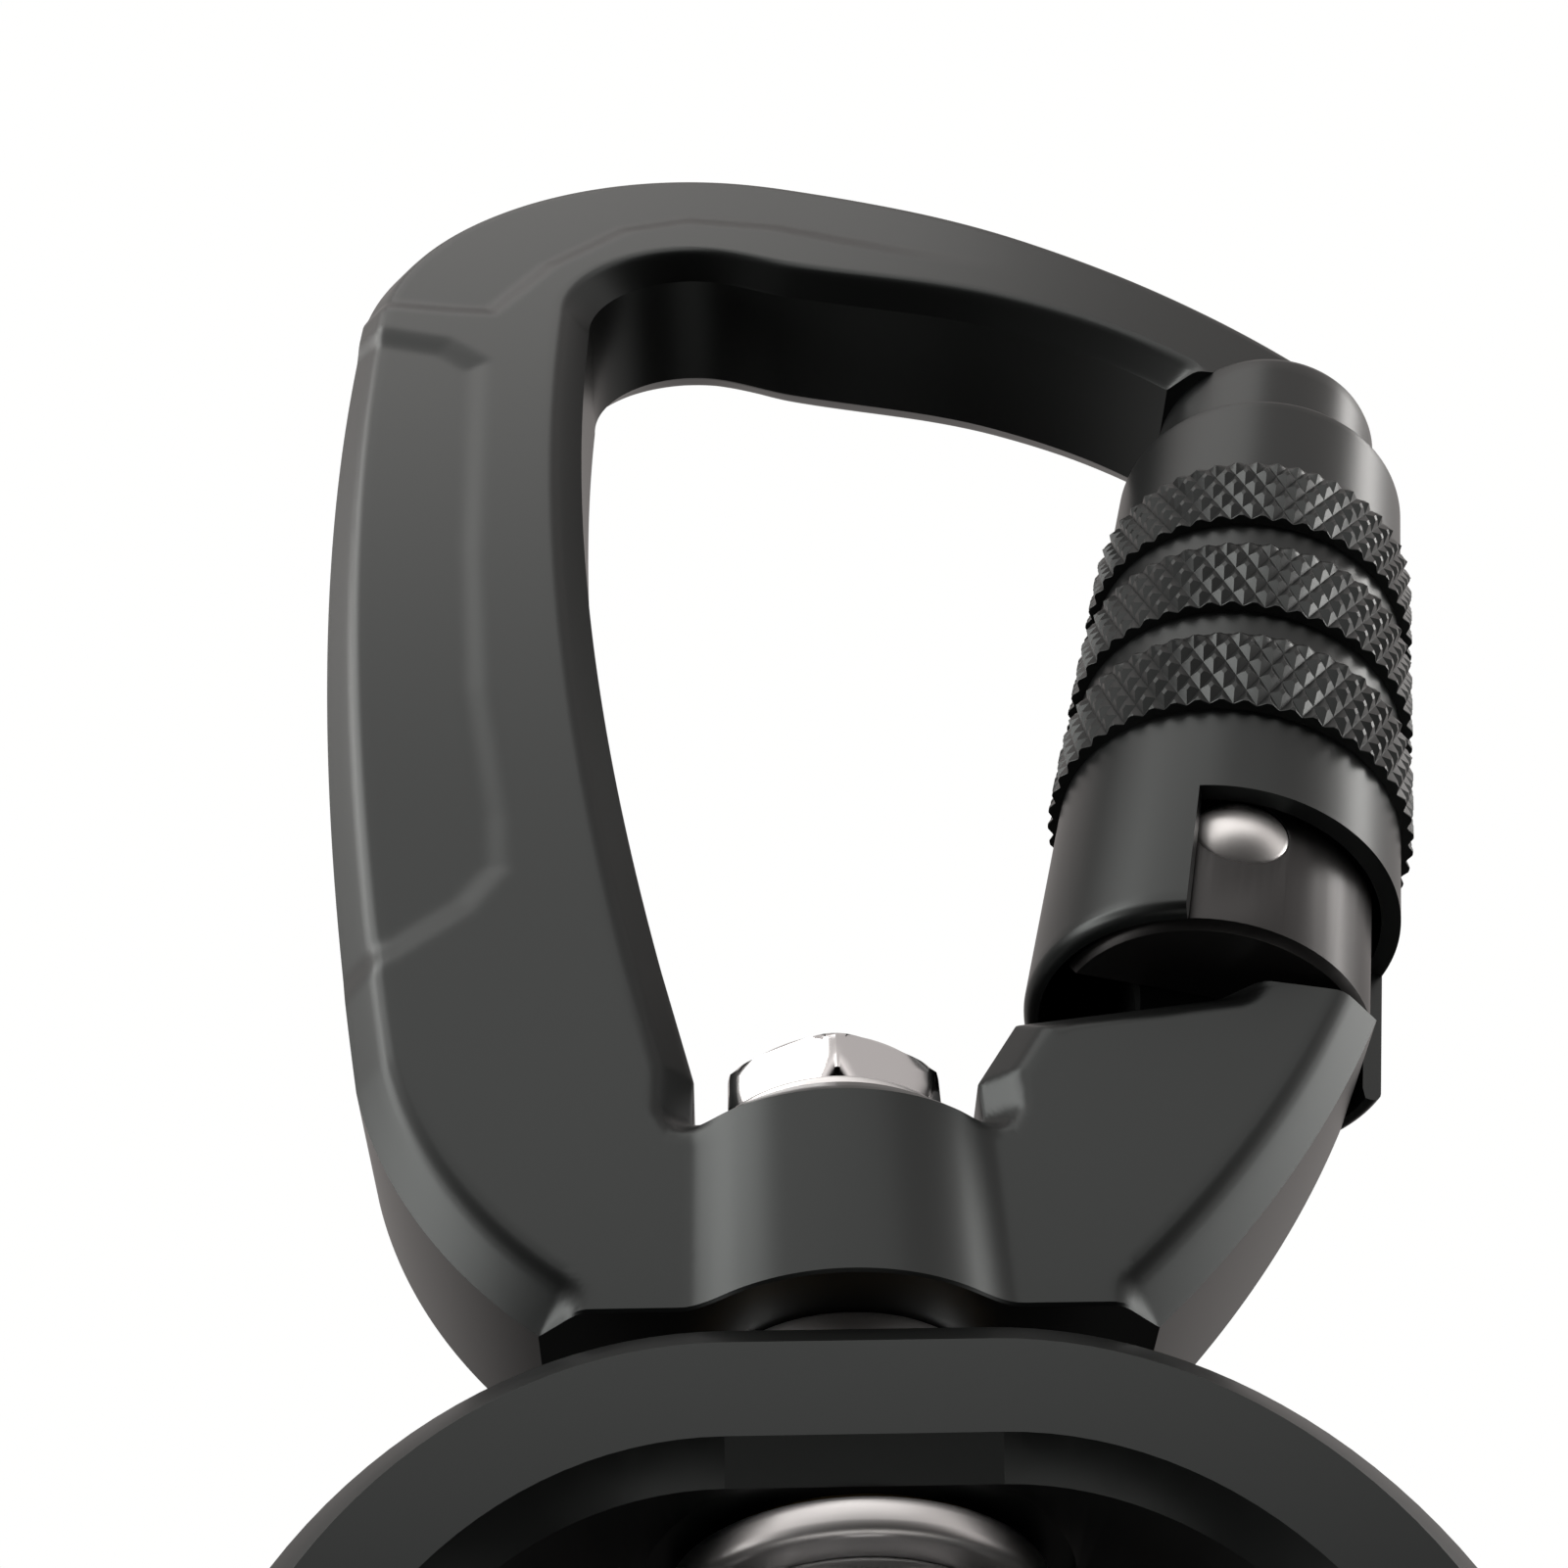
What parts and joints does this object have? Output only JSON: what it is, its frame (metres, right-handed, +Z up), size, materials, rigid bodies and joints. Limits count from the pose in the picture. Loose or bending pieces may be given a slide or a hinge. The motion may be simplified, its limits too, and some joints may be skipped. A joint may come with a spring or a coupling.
{
  "type": "swivel carabiner",
  "caption": "Asymmetric auto-locking carabiner with a knurled twist sleeve on its gate, joined by a bolted swivel to a wide racetrack load eye.",
  "frame": {"origin": "anchor basket: the point on the underside of the top bar where the swivel axis crosses it", "axes": "+Z up the swivel axis from the load eye to the carabiner, +X to the gate, -Y the front"},
  "size_m": [0.0698, 0.0192, 0.1457],
  "materials": {
    "frame_black": "satin black anodised",
    "eye_black": "satin black anodised",
    "sleeve_black": "satin black anodised",
    "barrel_black": "semi-gloss black anodised",
    "bolt_steel": "bright plated steel",
    "washer_steel": "bright plated steel",
    "rivet_steel": "polished stainless steel",
    "spring_steel": "drawn spring wire",
    "bush_bronze": "plain bearing bronze",
    "insert_nylon": "moulded nylon"
  },
  "bodies": {
    "frame": {"carabiner_frame": "frame_black", "swivel_bolt": "bolt_steel", "head_washer": "washer_steel", "thrust_collar": "washer_steel", "spacer_sleeve": "washer_steel", "lower_washer": "washer_steel", "nut_ring": "washer_steel", "swivel_nut": "bolt_steel", "nut_insert": "insert_nylon"},
    "eye": {"load_eye": "eye_black", "upper_eye_bush": "bush_bronze", "lower_eye_bush": "bush_bronze"},
    "gate": {"gate_barrel": "barrel_black", "gate_rivet": "rivet_steel", "gate_spring": "spring_steel", "sleeve_spring": "spring_steel", "retaining_ring": "spring_steel", "guide_pin": "rivet_steel"},
    "sleeve": {"locking_sleeve": "sleeve_black"},
    "plunger": {"gate_plunger": "rivet_steel"}
  },
  "joints": [
    {"name": "swivel_spin", "type": "hinge", "parent": "frame", "child": "eye", "pos_m": [0, 0, -0.09], "axis": [0, 0, 1], "continuous": true},
    {"name": "gate_swing", "type": "hinge", "parent": "frame", "child": "gate", "pos_m": [0.0202, 0, -0.0608], "axis": [0, -1, 0], "range_deg": [0, 24], "stiffness_Nm_per_rad": 0.12, "springref_deg": -20.05},
    {"name": "sleeve_twist", "type": "hinge", "parent": "gate", "child": "sleeve", "pos_m": [0.0202, 0, -0.0608], "axis": [-0.2554, 0, -0.9668], "range_deg": [0, 84]},
    {"name": "gate_plunger_slide", "type": "slide", "parent": "gate", "child": "plunger", "axis": [0.2554, 0, 0.9668], "range_m": [0, 0.0013], "deforming": ["gate_spring"]}
  ],
  "couplings": [
    {"joint": "sleeve_twist", "follows": "gate_swing", "ratio": 3.5},
    {"joint": "gate_plunger_slide", "follows": "gate_swing", "m_per_rad": 0.0031}
  ]
}
